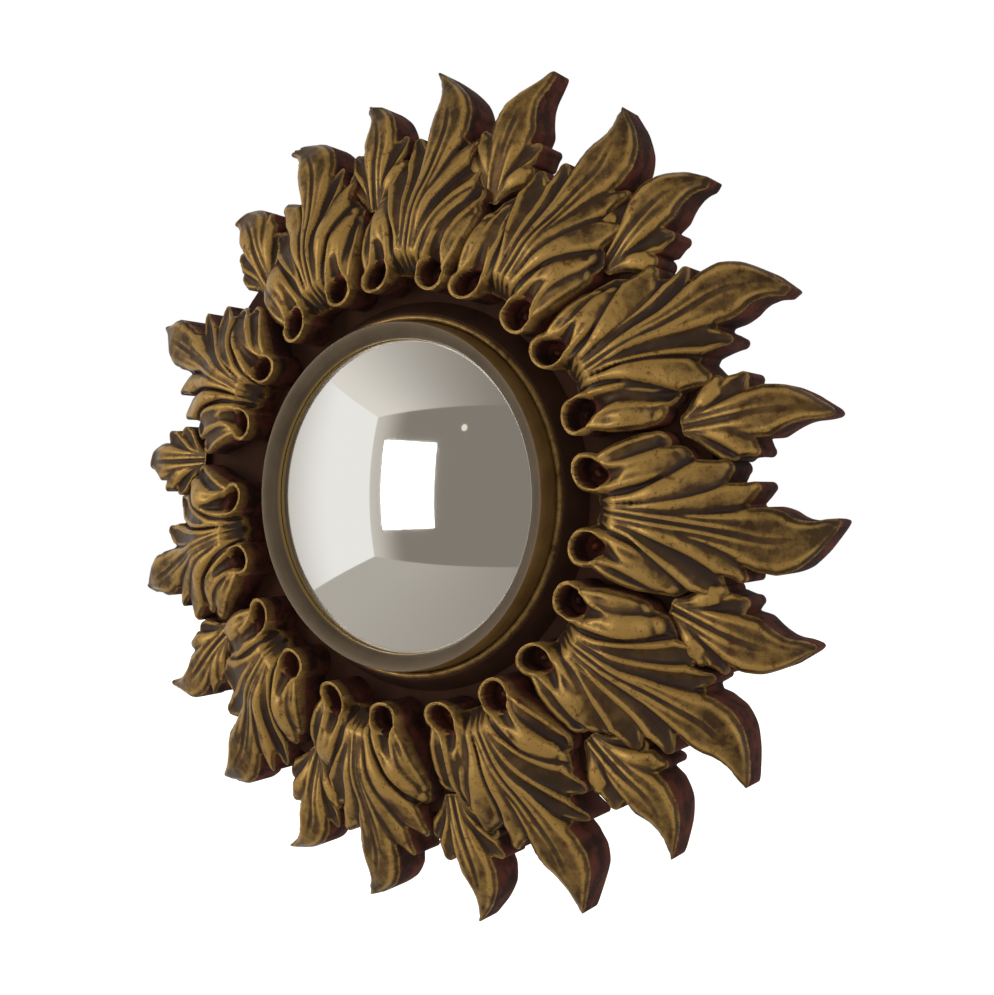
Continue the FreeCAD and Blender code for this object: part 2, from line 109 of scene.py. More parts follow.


# %% [markdown]
# ## The room and its light
# A plain room: a pale floor well below the hanging mirror, a white world, and one soft panel in front
# and to the left. The dome shows what stands before it, so pale walls are placed there too. They are
# seen only in reflections, and they glow with painted light and shade instead of being lit. The
# floor keeps the mirror's shadow.

# %% The world: white to the eye and in reflections, a trace warmer and softer as light
world = bpy.data.worlds.new("room")
bpy.context.scene.world = world
world.use_nodes = True
room = world.node_tree
room.nodes.clear()
rays = add_node(room, "ShaderNodeLightPath", {})
seen = add_node(room, "ShaderNodeMath", {0: rays.outputs["Is Camera Ray"],
                                         1: rays.outputs["Is Transmission Ray"]}, operation="MAXIMUM")
seen = add_node(room, "ShaderNodeMath", {0: seen.outputs[0], 1: rays.outputs["Is Glossy Ray"]},
                operation="MAXIMUM")
glow = add_node(room, "ShaderNodeBackground", {"Color": linear("#f4f2ee"), "Strength": 0.98})
white = add_node(room, "ShaderNodeBackground", {"Color": (1, 1, 1, 1), "Strength": 1.0})
either = add_node(room, "ShaderNodeMixShader", {0: seen.outputs[0], 1: glow.outputs[0],
                                                2: white.outputs[0]})
add_node(room, "ShaderNodeOutputWorld", {"Surface": either.outputs[0]})


# %% Walls that only the glass and the gilding see, glowing with painted light and shade
def toward(turn, rise):
    """The direction that lies some degrees to the right of straight ahead, and some above level."""
    turn, rise = math.radians(turn), math.radians(rise)
    return np.array([math.sin(turn) * math.cos(rise), -math.cos(turn) * math.cos(rise),
                     math.sin(rise)])


def stage_plane(name, corners, material):
    """A four-cornered sheet of the room."""
    bpy.ops.object.select_all(action="DESELECT")
    bpy.ops.mesh.primitive_plane_add(size=1)
    plane = bpy.context.object
    plane.name = name
    plane.data.vertices.foreach_set("co", np.array([corners[i] for i in (0, 1, 3, 2)], float).ravel())
    plane.data.update()
    plane.data.materials.append(material)
    return plane


def glowing(name, first, second, way, start, stop):
    """A sheet glowing with painted light and shade, one colour to another along X, Y or Z, whatever
    falls on it.
    """
    material, tree, shader = new_material(name)
    tree.nodes.remove(shader)
    place = add_node(tree, "ShaderNodeTexCoord", {})
    split = add_node(tree, "ShaderNodeSeparateXYZ", {0: place.outputs["Object"]})
    across = add_node(tree, "ShaderNodeMapRange", {0: split.outputs[way], 1: start, 2: stop},
                      interpolation_type="SMOOTHSTEP")
    colour = add_node(tree, "ShaderNodeMix", {0: across.outputs[0], 6: linear(first),
                                              7: linear(second)}, data_type="RGBA")
    light = add_node(tree, "ShaderNodeEmission", {"Color": colour.outputs[2], "Strength": 1.0})
    tree.links.new(light.outputs[0], tree.nodes["Material Output"].inputs["Surface"])
    return material


FLOOR, CEILING, AHEAD, NEAR, LEFT, RIGHT = -1.15, 1.5, -3.8, 0.3, -3.4, 3.0
# Painted light and shade: each sheet glows brighter at one end than the other, and nothing lights it.
side_plaster = glowing("plaster wall lit from the left", "#c4c0b8", "#ffffff", 1, -0.4, -2.4)
far_plaster = glowing("plaster wall in half shade", "#d6d2cb", "#8d8780", 0, -3.4, -2.3)
# Painted shade: the ceiling glows darker towards the right.
painted_ceiling_shade = glowing("ceiling glowing with painted shade", "#efece6", "#938d86", 0, -3.4, -0.2)
# Painted shade: the floor seen in the glass glows darker towards the right.
painted_floor_shade = glowing("pale floor with painted shade, as the glass sees it", "#bdb9b2", "#a39d95", 0, -2.4, 0.5)
for name, corners, material in (
        ("wall_left", [(LEFT, AHEAD, FLOOR), (LEFT, NEAR, FLOOR), (LEFT, NEAR, CEILING),
                       (LEFT, AHEAD, CEILING)], side_plaster),
        ("wall_ahead", [(LEFT, AHEAD, FLOOR), (RIGHT, AHEAD, FLOOR), (RIGHT, AHEAD, CEILING),
                        (LEFT, AHEAD, CEILING)], far_plaster),
        ("ceiling_ahead", [(LEFT, AHEAD, CEILING), (RIGHT, AHEAD, CEILING), (RIGHT, NEAR, CEILING),
                           (LEFT, NEAR, CEILING)], painted_ceiling_shade),
        ("floor_ahead", [(LEFT, AHEAD, FLOOR), (RIGHT, AHEAD, FLOOR), (RIGHT, NEAR, FLOOR),
                         (LEFT, NEAR, FLOOR)], painted_floor_shade)):
    sheet = stage_plane(name, corners, material)
    sheet.visible_camera = sheet.visible_diffuse = sheet.visible_shadow = False
    sheet.visible_transmission = False

# %% The floor that the camera sees
floor_paint, tree, shader = new_material("matt white floor paint")
shader.inputs["Base Color"].default_value = linear("#f2f1ee")
shader.inputs["Roughness"].default_value = 0.9
rays = add_node(tree, "ShaderNodeLightPath", {})
lift = add_node(tree, "ShaderNodeMath", {0: rays.outputs["Is Camera Ray"], 1: 0.55},
                operation="MULTIPLY")
shader.inputs["Emission Color"].default_value = (1, 1, 1, 1)
tree.links.new(lift.outputs[0], shader.inputs["Emission Strength"])
FLOOR_HALF = 9
LOW_FLOOR = FLOOR - 0.01
stage_plane("floor", [(-FLOOR_HALF, -FLOOR_HALF, LOW_FLOOR), (FLOOR_HALF, -FLOOR_HALF, LOW_FLOOR),
                      (FLOOR_HALF, FLOOR_HALF, LOW_FLOOR), (-FLOOR_HALF, FLOOR_HALF, LOW_FLOOR)],
            floor_paint).visible_glossy = False

# %% The soft panel, and a small bare lamp that only the glass sees
PANEL_TURN, PANEL_RISE, PANEL_DISTANCE = -29.8, 2.4, 2.2
BULB_TURN, BULB_RISE, BULB_DISTANCE, BULB_RADIUS = -15.2, 15.9, 3.2, 0.045

panel_light = bpy.data.lights.new("soft_panel", "AREA")
panel_light.shape = "RECTANGLE"
panel_light.size, panel_light.size_y = 0.6, 0.76
panel_light.energy = 13
panel_light.color = (1.0, 0.98, 0.95)
panel = bpy.data.objects.new("soft_panel", panel_light)
panel.location = toward(PANEL_TURN, PANEL_RISE) * PANEL_DISTANCE
panel.rotation_euler = (math.radians(90 - PANEL_RISE), 0, math.radians(PANEL_TURN))
bpy.context.scene.collection.objects.link(panel)

bpy.ops.object.select_all(action="DESELECT")
bpy.ops.mesh.primitive_uv_sphere_add(segments=24, ring_count=12, radius=BULB_RADIUS,
                                     location=toward(BULB_TURN, BULB_RISE) * BULB_DISTANCE)
bulb = bpy.context.object
bulb.name = "small_lamp"
bulb.data.materials.append(glowing("lamp glass", "#fff6e6", "#fff6e6", 0, 0, 1))
bulb.visible_camera = bulb.visible_diffuse = bulb.visible_shadow = False

# %% [markdown]
# ## Turned pieces
# Glass, sight ring and bead are all round, so each is a section spun once about the mirror's axis.
# The section starts as a flat circle, whose points are moved to the section's corners before it is
# spun.

# %% A helper that spins a section
TURNS = 256


def turned_piece(name, section, smooth_angle=40):
    """The closed mesh that a loop of (radius, depth) corners, in mm, sweeps round the Y axis."""
    bpy.ops.object.select_all(action="DESELECT")
    bpy.ops.mesh.primitive_circle_add(vertices=len(section), radius=1)
    piece = bpy.context.object
    piece.name = name
    corners = np.array([(radius, -depth, 0) for radius, depth in section]) * MM
    piece.data.vertices.foreach_set("co", corners.ravel())
    piece.data.update()
    bpy.ops.object.mode_set(mode="EDIT")
    bpy.ops.mesh.select_all(action="SELECT")
    bpy.ops.mesh.spin(steps=TURNS, angle=2 * math.pi, center=(0, 0, 0), axis=(0, 1, 0))
    bpy.ops.mesh.select_all(action="SELECT")
    bpy.ops.mesh.remove_doubles(threshold=0.00001)
    bpy.ops.mesh.delete_loose()
    bpy.ops.mesh.select_all(action="SELECT")
    bpy.ops.mesh.normals_make_consistent(inside=False)
    bpy.ops.object.mode_set(mode="OBJECT")
    bpy.ops.object.shade_smooth_by_angle(angle=math.radians(smooth_angle))
    print(name, len(piece.data.polygons), "faces")
    return piece


def fitted(piece, body, material, replaced):
    """Puts a finished piece in the frame: its body, its material and the node that it stands for."""
    piece.data.materials.clear()
    piece.data.materials.append(material)
    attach(piece, body)
    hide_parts(replaced)


# %% [markdown]
# ## The glass
# A 9 inch round of 3 mm plate, bent to a dome 17 mm high and silvered, so it shows a small, curved
# picture of the room. Old silvering reflects a little warm, and is a trace cloudy.

# %% Silvered glass
silvering, tree, shader = new_material("silvered convex glass")
place = add_node(tree, "ShaderNodeTexCoord", {}).outputs["Object"]
haze = add_node(tree, "ShaderNodeTexNoise", {"Vector": place, "Scale": 9.0, "Detail": 3.0}).outputs[0]
gloss = add_node(tree, "ShaderNodeMapRange", {0: haze, 1: 0.35, 2: 0.65, 3: 0.015, 4: 0.04})
tree.links.new(gloss.outputs[0], shader.inputs["Roughness"])
shader.inputs["Base Color"].default_value = linear("#e6e4df")
shader.inputs["Metallic"].default_value = 1.0

# %% The dome
GLASS_RADIUS, GLASS_EDGE, GLASS_SAG, GLASS_THICK = 114.5, 44.0, 17.0, 3.0
DOME_RADIUS = (GLASS_RADIUS ** 2 + GLASS_SAG ** 2) / (2 * GLASS_SAG)


def dome_depth(radius, ball, crown):
    """The depth of a dome's surface at a distance from the axis."""
    return crown - ball + math.sqrt(ball ** 2 - radius ** 2)


crown = GLASS_EDGE + GLASS_THICK + GLASS_SAG
inner_ball = DOME_RADIUS - GLASS_THICK
inner_reach = math.sqrt(inner_ball ** 2 - (inner_ball - (crown - GLASS_THICK - GLASS_EDGE)) ** 2)
front = [(r, dome_depth(r, DOME_RADIUS, crown)) for r in np.linspace(0, GLASS_RADIUS, 29)]
back = [(r, dome_depth(r, inner_ball, crown - GLASS_THICK)) for r in np.linspace(inner_reach, 0, 12)]
glass = turned_piece("glass", front + [(GLASS_RADIUS, GLASS_EDGE)] + back)
fitted(glass, "frame", silvering, "mirror_glass")

# %% [markdown]
# ## The sight ring and its bead
# The ring is turned wood, painted bronze over dark red and rubbed, with a chamfer towards the glass.
# Its arrises are rounded a little, because a hand has rubbed them, and that is what catches light.

# %% Bronzed wood
bronze, tree, shader = new_material("bronze paint on turned wood")
place = add_node(tree, "ShaderNodeTexCoord", {})
split = add_node(tree, "ShaderNodeSeparateXYZ", {0: place.outputs["Object"]})
flat = add_node(tree, "ShaderNodeCombineXYZ", {0: split.outputs[0], 2: split.outputs[2]})
reach = add_node(tree, "ShaderNodeVectorMath", {0: flat.outputs[0]}, operation="LENGTH")
clouds = add_node(tree, "ShaderNodeTexNoise", {"Vector": place.outputs["Object"], "Scale": 38.0,
                                               "Detail": 6.0, "Roughness": 0.6})
grit = add_node(tree, "ShaderNodeTexNoise", {"Vector": place.outputs["Object"], "Scale": 900.0,
                                             "Detail": 3.0})
paint = add_node(tree, "ShaderNodeMix", {0: clouds.outputs[0], 6: linear("#3c3227"),
                                         7: linear("#62533f")}, data_type="RGBA")
outer = add_node(tree, "ShaderNodeMapRange", {0: reach.outputs["Value"], 1: 0.1214, 2: 0.1222})
flank = add_node(tree, "ShaderNodeMix", {0: clouds.outputs[0], 6: linear("#3f2818"),
                                         7: linear("#8a6a38")}, data_type="RGBA")
paint = add_node(tree, "ShaderNodeMix", {0: outer.outputs[0], 6: paint.outputs[2],
                                         7: flank.outputs[2]}, data_type="RGBA")
arris = add_node(tree, "ShaderNodeMapRange", {0: reach.outputs["Value"], 1: 0.1116, 2: 0.1108})
paint = add_node(tree, "ShaderNodeMix", {0: arris.outputs[0], 6: paint.outputs[2],
                                         7: linear("#8d7443")}, data_type="RGBA")
tree.links.new(paint.outputs[2], shader.inputs["Base Color"])
shader.inputs["Metallic"].default_value = 0.3
shader.inputs["Specular IOR Level"].default_value = 0.3
gloss = add_node(tree, "ShaderNodeMapRange", {0: clouds.outputs[0], 1: 0.3, 2: 0.7, 3: 0.36, 4: 0.52})
tree.links.new(gloss.outputs[0], shader.inputs["Roughness"])
bump = add_node(tree, "ShaderNodeBump", {"Strength": 0.2, "Distance": 0.0003,
                                         "Height": grit.outputs[0]})
tree.links.new(bump.outputs[0], shader.inputs["Normal"])

# %% The ring itself
ring_section = [(115.3, 40.0), (115.3, 48.4), (110.8, 48.4), (110.8, 50.0), (111.2, 50.8),
                (113.2, 54.1), (113.9, 54.9), (120.9, 57.5), (121.8, 57.6), (122.4, 57.0),
                (124.1, 40.0)]
sight = turned_piece("sight_moulding", ring_section)
fitted(sight, "frame", bronze, "sight_ring")

# %% [markdown]
# ## Gilding over red bole
# Gold leaf on wood is never even. It is bright where cloth and hands rub it, brown where toning size
# lies, red where it is rubbed through to the bole, and nearly black in the deep cuts. Four values
# painted on each carved piece say where that is: how high, how deep, whether it is a side wall, and
# how far down that wall it is.

# %% Gilded limewood
def gilding(name, bright, middle, low):
    """Gilded wood whose wear follows the values that the carving leaves on its points."""
    material, tree, shader = new_material(name)
    place = add_node(tree, "ShaderNodeTexCoord", {}).outputs["Object"]
    high = add_node(tree, "ShaderNodeAttribute", {}, attribute_name="wear").outputs["Fac"]
    deep = add_node(tree, "ShaderNodeAttribute", {}, attribute_name="cavity").outputs["Fac"]
    side = add_node(tree, "ShaderNodeAttribute", {}, attribute_name="wall").outputs["Fac"]
    clouds = add_node(tree, "ShaderNodeTexNoise", {"Vector": place, "Scale": 60.0, "Detail": 7.0,
                                                   "Roughness": 0.62}).outputs[0]
    patches = add_node(tree, "ShaderNodeTexNoise", {"Vector": place, "Scale": 130.0, "Detail": 6.0,
                                                    "Roughness": 0.7}).outputs[0]
    flecks = add_node(tree, "ShaderNodeTexNoise", {"Vector": place, "Scale": 480.0, "Detail": 4.0,
                                                   "Roughness": 0.6}).outputs[0]
    spread = add_node(tree, "ShaderNodeMapRange", {0: clouds, 1: 0.42, 2: 0.58}).outputs[0]
    colour = add_node(tree, "ShaderNodeMix", {0: spread, 6: linear(low), 7: linear(middle)},
                      data_type="RGBA").outputs[2]
    large = add_node(tree, "ShaderNodeTexNoise", {"Vector": place, "Scale": 21.0, "Detail": 4.0,
                                                  "Roughness": 0.6}).outputs[0]
    dull = add_node(tree, "ShaderNodeMapRange", {0: large, 1: 0.44, 2: 0.62, 4: 0.8}).outputs[0]
    colour = add_node(tree, "ShaderNodeMix", {0: dull, 6: colour, 7: linear("#3f301d")},
                      data_type="RGBA").outputs[2]
    rubbed = add_node(tree, "ShaderNodeMath", {0: high, 1: patches}, operation="ADD").outputs[0]
    rubbed = add_node(tree, "ShaderNodeMapRange", {0: rubbed, 1: 0.62, 2: 1.2}).outputs[0]
    colour = add_node(tree, "ShaderNodeMix", {0: rubbed, 6: colour, 7: linear(bright)},
                      data_type="RGBA").outputs[2]
    red = add_node(tree, "ShaderNodeMapRange", {0: patches, 1: 0.42, 2: 0.34, 4: 0.75}).outputs[0]
    colour = add_node(tree, "ShaderNodeMix", {0: red, 6: colour, 7: linear("#5a2f1b")},
                      data_type="RGBA").outputs[2]
    specks = add_node(tree, "ShaderNodeMapRange", {0: flecks, 1: 0.58, 2: 0.66, 4: 0.6}).outputs[0]
    toned = add_node(tree, "ShaderNodeMapRange", {0: deep, 1: 0.06, 2: 0.8}).outputs[0]
    dark = add_node(tree, "ShaderNodeMath", {0: specks, 1: toned}, operation="MAXIMUM").outputs[0]
    colour = add_node(tree, "ShaderNodeMix", {0: dark, 6: colour, 7: linear("#30211a")},
                      data_type="RGBA").outputs[2]
    bole = add_node(tree, "ShaderNodeMix", {0: spread, 6: linear("#2c1610"), 7: linear("#54281c")},
                    data_type="RGBA").outputs[2]
    low_down = add_node(tree, "ShaderNodeAttribute", {}, attribute_name="drop").outputs["Fac"]
    bared = add_node(tree, "ShaderNodeMapRange", {0: low_down, 1: 0.0, 2: 0.3}).outputs[0]
    side = add_node(tree, "ShaderNodeMath", {0: side, 1: bared}, operation="MULTIPLY").outputs[0]
    colour = add_node(tree, "ShaderNodeMix", {0: side, 6: colour, 7: bole}, data_type="RGBA")
    tree.links.new(colour.outputs[2], shader.inputs["Base Color"])
    covered = add_node(tree, "ShaderNodeMath", {0: dark, 1: side}, operation="MAXIMUM").outputs[0]
    metal = add_node(tree, "ShaderNodeMapRange", {0: covered, 3: 0.6, 4: 0.0}).outputs[0]
    tree.links.new(metal, shader.inputs["Metallic"])
    shader.inputs["Specular IOR Level"].default_value = 0.2
    gloss = add_node(tree, "ShaderNodeMapRange", {0: clouds, 1: 0.3, 2: 0.7, 3: 0.36, 4: 0.54})
    gloss = add_node(tree, "ShaderNodeMix", {0: side, 2: gloss.outputs[0], 3: 0.9}, data_type="FLOAT")
    tree.links.new(gloss.outputs[0], shader.inputs["Roughness"])
    grain = add_node(tree, "ShaderNodeBump", {"Strength": 0.35, "Distance": 0.0004, "Height": flecks})
    tree.links.new(grain.outputs[0], shader.inputs["Normal"])
    return material


leaf_gilding = gilding("gold leaf over red bole on limewood", "#a88548", "#6a502c", "#45321e")
bead_gilding = gilding("gold leaf on a composition bead", "#b8945a", "#85683a", "#5e4728")


def set_values(piece, **values):
    """Paints named values on a piece's points."""
    for name, value in values.items():
        layer = piece.data.attributes.get(name) or piece.data.attributes.new(name, "FLOAT", "POINT")
        numbers = np.empty(len(piece.data.vertices), np.float32)
        numbers[:] = value
        layer.data.foreach_set("value", numbers)


# %% The bead
BEAD_MIDDLE, BEAD_HALF_WIDTH, BEAD_FOOT, BEAD_HEIGHT, BEAD_STEPS = 126.6, 2.2, 40.0, 3.0, 8

bead_points = []
for step in range(BEAD_STEPS + 1):
    turn = math.pi * step / BEAD_STEPS
    bead_points.append((BEAD_MIDDLE - BEAD_HALF_WIDTH * math.cos(turn),
                        BEAD_FOOT + BEAD_HEIGHT * math.sin(turn)))
bead = turned_piece("bead", bead_points, 60)
set_values(bead, wear=0.35, cavity=0.0, wall=0.0, drop=0.0)
fitted(bead, "frame", bead_gilding, "bead_moulding")

# %% [markdown]
# ## The leaves
# Twenty-two leaves, no two the same. A carver draws a leaf as strokes that run out from between its
# scrolls: narrow ribs at the root that broaden into lobes, some hollowed like spoons and some left
# full, and a long blade that hooks at its tip. Each leaf here is made the same way: a fine grid is
# laid along the leaf's curved axis, what lies outside the strokes is cut away as with a saw, the rest
# is extruded to the full thickness, and its face is then raised to the height of the strokes.

# %% How the leaves stand round the mirror
# Each row holds the angles of a leaf's root, blade and tip, in degrees anticlockwise from the right,
# and the radius of its tip in mm. A back leaf's row has no root angle, because its root stands half
# way between its neighbours' roots.
ROOT_RADIUS, BLADE_RADIUS, LOBE_RADIUS = 158.0, 255.0, 205
PAIRS = 11
FRONT_LEAVES = [(86.4, 83.0, 87.0, 304.0), (57.7, 54.5, 57.3, 300.0), (28.0, 28.3, 24.6, 300.0),
                (-3.0, -5.5, -2.7, 303.0), (-33.5, -32.0, -35.8, 303.0), (-65.5, -63.0, -64.7, 307.0),
                (-101.3, -96.7, -99.0, 301.0), (-135.5, -129.7, -131.0, 304.0),
                (-170.5, -166.0, -165.0, 301.0), (-209.5, -208.0, -208.0, 303.0),
                (-243.5, -249.5, -246.0, 295.0)]
BACK_LEAVES = [(71.5, 69.0, 307.0), (44.5, 41.8, 297.0), (11.5, 9.5, 303.0), (-19.5, -17.3, 301.0),
               (-46.0, -49.7, 302.0), (-78.5, -80.5, 303.0), (-111.5, -115.0, 304.0),
               (-147.0, -149.0, 308.0), (-186.5, -186.0, 287.0), (-232.5, -231.0, 287.0),
               (-263.0, -260.5, 295.0)]
LEAVES = []
for number, front_leaf in enumerate(FRONT_LEAVES):
    following = FRONT_LEAVES[number + 1][0] if number + 1 < PAIRS else FRONT_LEAVES[0][0] - 360
    LEAVES.append(front_leaf)
    LEAVES.append(((front_leaf[0] + following) / 2,) + BACK_LEAVES[number])


def axis_turn(index, r):
    """The angle, in degrees, of a leaf's axis at a distance from the mirror's centre."""
    root, blade, tip, reach = LEAVES[index % len(LEAVES)]
    drift = (blade - root) / (BLADE_RADIUS - ROOT_RADIUS)
    past = np.clip((r - BLADE_RADIUS) / (reach - BLADE_RADIUS), 0, None)
    hook = tip - root - drift * (reach - ROOT_RADIUS)
    return root + drift * (r - ROOT_RADIUS) + hook * past ** 2 - 360 * (index // len(LEAVES))


def half_room(index, side):
    """Half the way to the next leaf of the same kind, in mm, where the first lobes end."""
    apart = axis_turn(index - 2 * side, LOBE_RADIUS) - axis_turn(index, LOBE_RADIUS)
    return abs(math.radians(apart)) * LOBE_RADIUS / 2


print("half room beside the first leaf", round(half_room(0, -1), 1), "mm")


# %% [markdown]
# On a leaf, r is the distance from the mirror's axis and b is the distance sideways from the leaf's
# curved axis, both in mm. A stroke is a bent line with a width at each point of it.

# %% Strokes
LINE_POINTS = 18
NOWHERE = -99


def nearest(points, r, b):
    """How far along a stroke the nearest point is, 0 to 1, and how far away, to the left or right."""
    points = np.array(points, float)
    runs = np.hypot(*np.diff(points, axis=0).T)
    starts = np.concatenate([[0], np.cumsum(runs)])
    along, gap, hand = np.zeros_like(r), np.full_like(r, 1e9), np.ones_like(r)
    for i, run in enumerate(runs):
        (r0, b0), (dr, db) = points[i], (points[i + 1] - points[i]) / run
        t = np.clip((r - r0) * dr + (b - b0) * db, 0, run)
        away = np.hypot(r - r0 - t * dr, b - b0 - t * db)
        closer = away < gap
        gap[closer] = away[closer]
        along[closer] = (starts[i] + t[closer]) / starts[-1]
        hand[closer] = np.sign((r - r0) * db - (b - b0) * dr)[closer]
    return along, gap, hand


def bent(start, bend, end):
    """A stroke's middle line, drawn with one bend."""
    t = np.linspace(0, 1, LINE_POINTS)[:, None]
    return (1 - t) ** 2 * np.array(start) + 2 * t * (1 - t) * np.array(bend) + t ** 2 * np.array(end)


def smooth(value, low, high):
    """0 below low, 1 above high, and an even curve between."""
    t = np.clip((value - low) / (high - low), 0, 1)
    return t * t * (3 - 2 * t)


def blurred(field, half):
    """A field averaged twice over a square that reaches so many cells each way from its middle."""
    for way in (0, 1, 0, 1):
        padded = np.pad(field, [(half + 1, half) if axis == way else (0, 0) for axis in (0, 1)])
        sums = np.cumsum(padded, axis=way)
        size = field.shape[way]
        ends = np.take(sums, np.arange(2 * half + 1, 2 * half + 1 + size), axis=way)
        field = (ends - np.take(sums, np.arange(size), axis=way)) / (2 * half + 1)
    return field


def long_profile(corners, r):
    """The height along the top of a leaf, with its corners eased."""
    radii, depths = zip(*corners)
    return sum(np.interp(r + shift, radii, depths) for shift in (-9, -5, 0, 5, 9)) / 5


def together(strokes):
    """The reach inside the outline of several strokes, and the height of the highest of them."""
    inside = np.max([reach for reach, height in strokes], axis=0)
    return inside, np.max([np.where(reach > 0, height, NOWHERE) for reach, height in strokes], axis=0)


# %% The relief of one stroke
def stroke_relief(line, widths, base, fall, full, r, b, lean=0.0):
    """The reach inside one stroke, and its height. Full is positive, and hollow is negative. A
    stroke that leans has one edge higher than the other."""
    along, gap, hand = nearest(line, r, b)
    width = np.interp(along, (0, 0.3, 0.6, 0.85, 1), widths)
    u = gap / np.maximum(width, 0.01)
    size = np.minimum(1, width / 6.5)
    grown = smooth(along, 0.2, 0.6)
    height = base - fall * along ** 2 + lean * hand * u * size
    if full < 0:
        height = height + full * grown * size * np.clip(1 - (u / 0.72) ** 2, 0, 1)
    else:
        height = height + (0.9 * size + full * grown) * (1 - u ** 2)
    height = height - (0.8 + 3.4 * size) * np.clip((u - 0.68) / 0.32, 0, 2) ** 2
    height = height + 0.4 * size * np.cos(2 * math.pi * 1.5 * hand * u) * (1 - grown)
    return width - gap, height


# %% [markdown]
# The scrolls are the leaf's own root, rolled up: a thin rim, a deep dark eye, and a tongue that comes
# out of the roll and becomes the first lobe.

# %% Scrolls and blades
SCROLL_SPREAD, SCROLL_RADIUS, EYE_RADIUS, EYE_FLOOR = 23.5, 13.0, 9.8, 38.5
RIM_RADIUS, RIM_HALF_WIDTH, RIM_TOP = 11.2, 1.9, 56.6


def scroll(r, b, side):
    """A scroll's reach, and the height of its rim, which opens towards the tongue."""
    out, across = r - ROOT_RADIUS, b - side * SCROLL_SPREAD
    away = np.hypot(out, across)
    opening = smooth(np.cos(np.arctan2(across * side, out) - 0.35), 0.35, 0.9)
    rim = RIM_TOP - 1.5 * (np.abs(away - RIM_RADIUS) / RIM_HALF_WIDTH) ** 2 - 5 * opening
    return SCROLL_RADIUS - away, rim


def rolled(r, b, side, dice, height, wall):
    """A face with a scroll's eye and the scoop of its tongue cut in, and the cuts marked as walls."""
    curl = dice.uniform(0, 3.2)
    out, across = r - ROOT_RADIUS + 1.0, (b - side * SCROLL_SPREAD) * side
    eye = np.hypot(out, across) + curl * smooth(np.cos(np.arctan2(across, out) - 0.7), 0.3, 1)
    hollow = eye < EYE_RADIUS
    floor = EYE_FLOOR + 6 * smooth(-eye, -4.6, -1.5)
    lip = 1.6 * np.exp(-((eye - EYE_RADIUS - 1.6) / 1.3) ** 2) * (eye >= EYE_RADIUS)
    end = (ROOT_RADIUS + dice.uniform(22, 34), side * (SCROLL_SPREAD + dice.uniform(3, 7)))
    line = bent((ROOT_RADIUS, side * SCROLL_SPREAD),
                (ROOT_RADIUS + 14, side * (SCROLL_SPREAD - 1)), end)
    along, gap, _ = nearest(line, r, b)
    half_width = np.interp(along, (0, 0.3, 0.6, 1), (EYE_RADIUS, 7.6, 5.2, 2.6))
    mouth = np.clip(1 - (gap / half_width) ** 2, 0, 1)
    scoop = mouth * np.interp(along, (0, 0.3, 0.55, 1), (16, 11, 6, 0.5))
    height = np.where(hollow, floor, height + lip * (height > 40) - scoop)
    return height, np.where(hollow | (scoop > 7.5), 1.0, wall)


def blade_relief(index, r, b, dice, radii, widths, top, full, plain_from):
    """The blade: crowned and smooth towards its tip, veined towards its root, fuller on the outside
    of its hook than on the inside."""
    _, blade, tip, reach = LEAVES[index]
    width = np.interp(r, list(radii) + [reach - 2, reach], list(widths) + [2.6, 0.4])
    width = width * (1 + 0.08 * dice.uniform(-1, 1))
    hook = np.sign(tip - blade) * np.sign(b)
    bite = smooth(r, 262, 284) * (1 - smooth(r, 286, reach))
    width = width * np.where(hook > 0, 1 - 0.34 * bite, 1 + 0.16 * bite)
    u = np.abs(b) / width
    vein_gap = np.interp(r, (150, 225, 262), (3.4, 5.0, 8.0))
    veins = np.cos(2 * math.pi * b / vein_gap + dice.uniform(0, 6))
    lean = dice.choice((-1, 1)) * dice.uniform(1.2, 2.8)
    h = top + full * (1 - u ** 2) * smooth(r, plain_from - 25, plain_from + 15)
    h = h + lean * np.sign(b) * u * smooth(r, plain_from - 10, plain_from + 30)
    h = h - 4.6 * np.clip((u - 0.66) / 0.34, 0, 2) ** 2
    h = h - 1.3 * np.exp(-(b / 1.5) ** 2) * (1 - smooth(r, 258, 282))
    h = h - 8 * smooth(r, reach - 34, reach) ** 1.5
    h = h + 0.6 * veins * (1 - smooth(r, plain_from - 20, plain_from + 20))
    return np.minimum(width - np.abs(b), np.minimum(reach - r, r - ROOT_RADIUS)), h


# %% [markdown]
# A lobe's row gives where its middle line starts, bends and ends, as (r, b), then its half widths
# along that line, how far it falls, how high it stands, and the depths to choose from: negative for
# a spoon-shaped hollow, positive for a full lobe.

# %% One front leaf's face
FRONT_PROFILE = [(140, 54), (168, 56), (204, 57), (224, 45), (252, 35), (312, 25)]
FRONT_BLADE = ((150, 175, 205, 228, 248, 260, 271, 283, 293),
               (3.0, 3.8, 5.6, 9.5, 15.6, 18.4, 18.4, 14.6, 9.0))
FRONT_PLAIN_FROM = 242
PALM = ((156, 165, 185, 200, 214, 226, 245, 262), (9, 16, 36, 46, 46, 36, 23, 8))
PALM_ROOT, PALM_TIP, PALM_DROP = 156, 262, 7
USUAL_ROOM = 54
FRONT_LOBES = (
    ((158, 10), (194, 16), (218, 33), (2.2, 4.4, 7.6, 8.6, 6.0), 10, -1.6, (-3, -2.2, 1.6)),
    ((158, 3.2), (228, 6), (253, 27), (1.7, 3.0, 6.4, 9.4, 3.4), 5, -0.2, (-3.2, 2)),
    ((158, 6.4), (204, 10), (236, 37), (1.8, 3.0, 8.2, 11.6, 4.6), 9, 0.6, (-3.6, -2.8, 2)),
    ((165, 31), (184, 36), (202, 44), (6.0, 8.8, 9.2, 8.4, 6.6), 12, -0.6, (-2.8, 2.2)),
    ((168, 22.5), (190, 26), (212, 39), (10.8, 9.8, 9.8, 9.8, 7.6), 13, 0.8, (2.6, -3, 1.4)))


